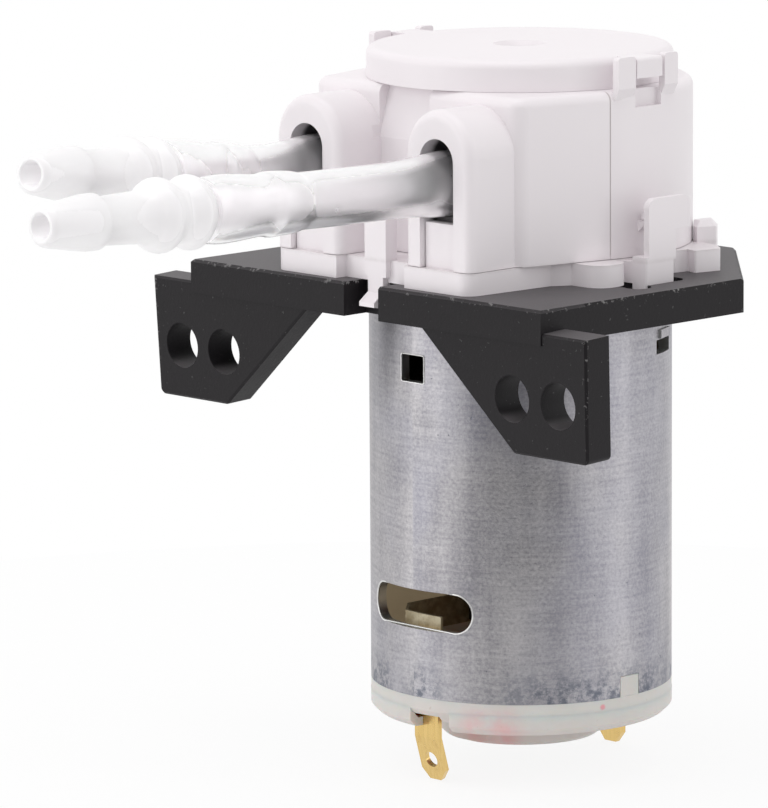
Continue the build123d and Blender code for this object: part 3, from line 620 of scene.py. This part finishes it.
frosted = Finish("frosted_polypropylene")
frost = frosted.noise(0.0015, detail=4, roughness=0.6)
flow_marks = frosted.noise(0.004, detail=3, seed=6)
frosted_colour = frosted.mix(frost, (0.96, 0.945, 0.955, 1), (0.985, 0.97, 0.98, 1))
frosted.set(Base_Color=frosted.mix(0.3 * flow_marks, frosted_colour, (0.92, 0.91, 0.92, 1)),
            Roughness=0.34 + 0.16 * frost, Transmission_Weight=0.17, IOR=1.49,
            Normal=frosted.bump(frost + 0.5 * flow_marks, 0.2, 0.0001))
for node, (_, _, tip, heading) in (("inlet_connector", inlet_end), ("outlet_connector", outlet_end)):
    across = heading.cross(Vector((0, 0, 1))).normalized()
    upward = across.cross(heading)
    corners, faces = [], []
    for ring, (radius, along) in enumerate(lathe):
        for corner in range(sides):
            turn = 2 * pi * corner / sides
            outward = across * cos(turn) + upward * sin(turn)
            corners.append(in_frame(tip + heading * along + outward * radius))
            here, there = ring * sides, (ring + 1) % len(lathe) * sides
            after = (corner + 1) % sides
            faces.append((here + corner, here + after, there + after, there + corner))
    connector = add_mesh(node + "_barbed", corners, faces, frosted)
    connector.visible_shadow = False
    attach(connector, "pump")
    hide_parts(node)

# ---- floor and light ----
# A small pale floor under the solder lugs, a white room, three soft lamps, and a dark
# card behind the camera that gives the plated can its darker stripe.
everything_low, everything_high = (Vector(corner) for corner in cad_box)
centre = (everything_low + everything_high) / 2


def seen_directly(finish):
    """1 for what the camera sees straight, in a reflection or through something clear."""
    camera_ray, glossy_ray, clear_ray = (finish.make("ShaderNodeLightPath", output=f"Is {kind} Ray")
                                         for kind in ("Camera", "Glossy", "Transmission"))
    return camera_ray.math("MAXIMUM", glossy_ray).math("MAXIMUM", clear_ray)


pale = Finish("pale_floor")
pale.set(Base_Color=(0.95, 0.95, 0.95, 1), Roughness=0.9)
glow = pale.make("ShaderNodeEmission", Color=(1, 1, 1, 1), Strength=1.0)
surface = pale.make("ShaderNodeMixShader", _0=0.88 * seen_directly(pale),
                    _1=Value(pale, pale.shader.outputs[0]), _2=glow)
pale.links.new(surface.socket, pale.nodes["Material Output"].inputs["Surface"])

floor_radius, floor_corners = 0.115, 96
turns = [2 * pi * corner / floor_corners for corner in range(floor_corners)]
floor_rim = [(floor_radius * cos(turn), floor_radius * sin(turn), 0) for turn in turns]
floor = add_mesh("floor", floor_rim, [list(range(floor_corners))], pale)
floor.location = (0, axis_y - 0.01, everything_low.z - 0.0001)

world = bpy.data.worlds.new("white_room")
bpy.context.scene.world = world
world.use_nodes = True


class Room(Finish):
    """The world's own node tree, written with the same calls."""

    def __init__(self, tree):
        self.tree = tree
        self.nodes = tree.nodes
        self.links = tree.links


room = Room(world.node_tree)
wall = room.nodes["Background"]
wall.inputs["Color"].default_value = (1, 1, 1, 1)
plug(room, wall.inputs["Strength"], 0.72 + 0.28 * seen_directly(room))


def softbox(name, away, size, watts):
    """A rectangular lamp that stands `away` from the pump's middle and faces it."""
    lamp_data = bpy.data.lights.new(name, "AREA")
    lamp_data.shape = "RECTANGLE"
    lamp_data.size, lamp_data.size_y = size
    lamp_data.energy = watts
    lamp = bpy.data.objects.new(name, lamp_data)
    bpy.context.collection.objects.link(lamp)
    lamp.location = centre + Vector(away)
    lamp.rotation_euler = (centre - lamp.location).to_track_quat("-Z", "Y").to_euler()


softbox("lamp_above", (0.05, -0.1, 0.6), (0.5, 0.5), 1.12)
softbox("lamp_left", (-0.25, -0.433, 0.12), (0.34, 0.5), 0.64)
softbox("lamp_right", (0.424, 0.265, 0.12), (0.10, 0.4), 0.2)

card_black = Finish("card_black")
card_black.set(Base_Color=(0.02, 0.02, 0.02, 1), Roughness=0.9)
left, right_edge, bottom, top = -0.62, 0.5, -0.5, 0.35
card_corners = [(left, 0, bottom), (right_edge, 0, bottom), (right_edge, 0, top), (left, 0, top)]
card = add_mesh("dark_card", card_corners, [(0, 1, 2, 3)], card_black)
card.location = centre + Vector((0.58, -0.50, 0))
card.rotation_euler = (0, 0, radians(49))
card.visible_camera = card.visible_diffuse = card.visible_shadow = card.visible_transmission = False

bpy.context.scene.view_settings.view_transform = "Standard"
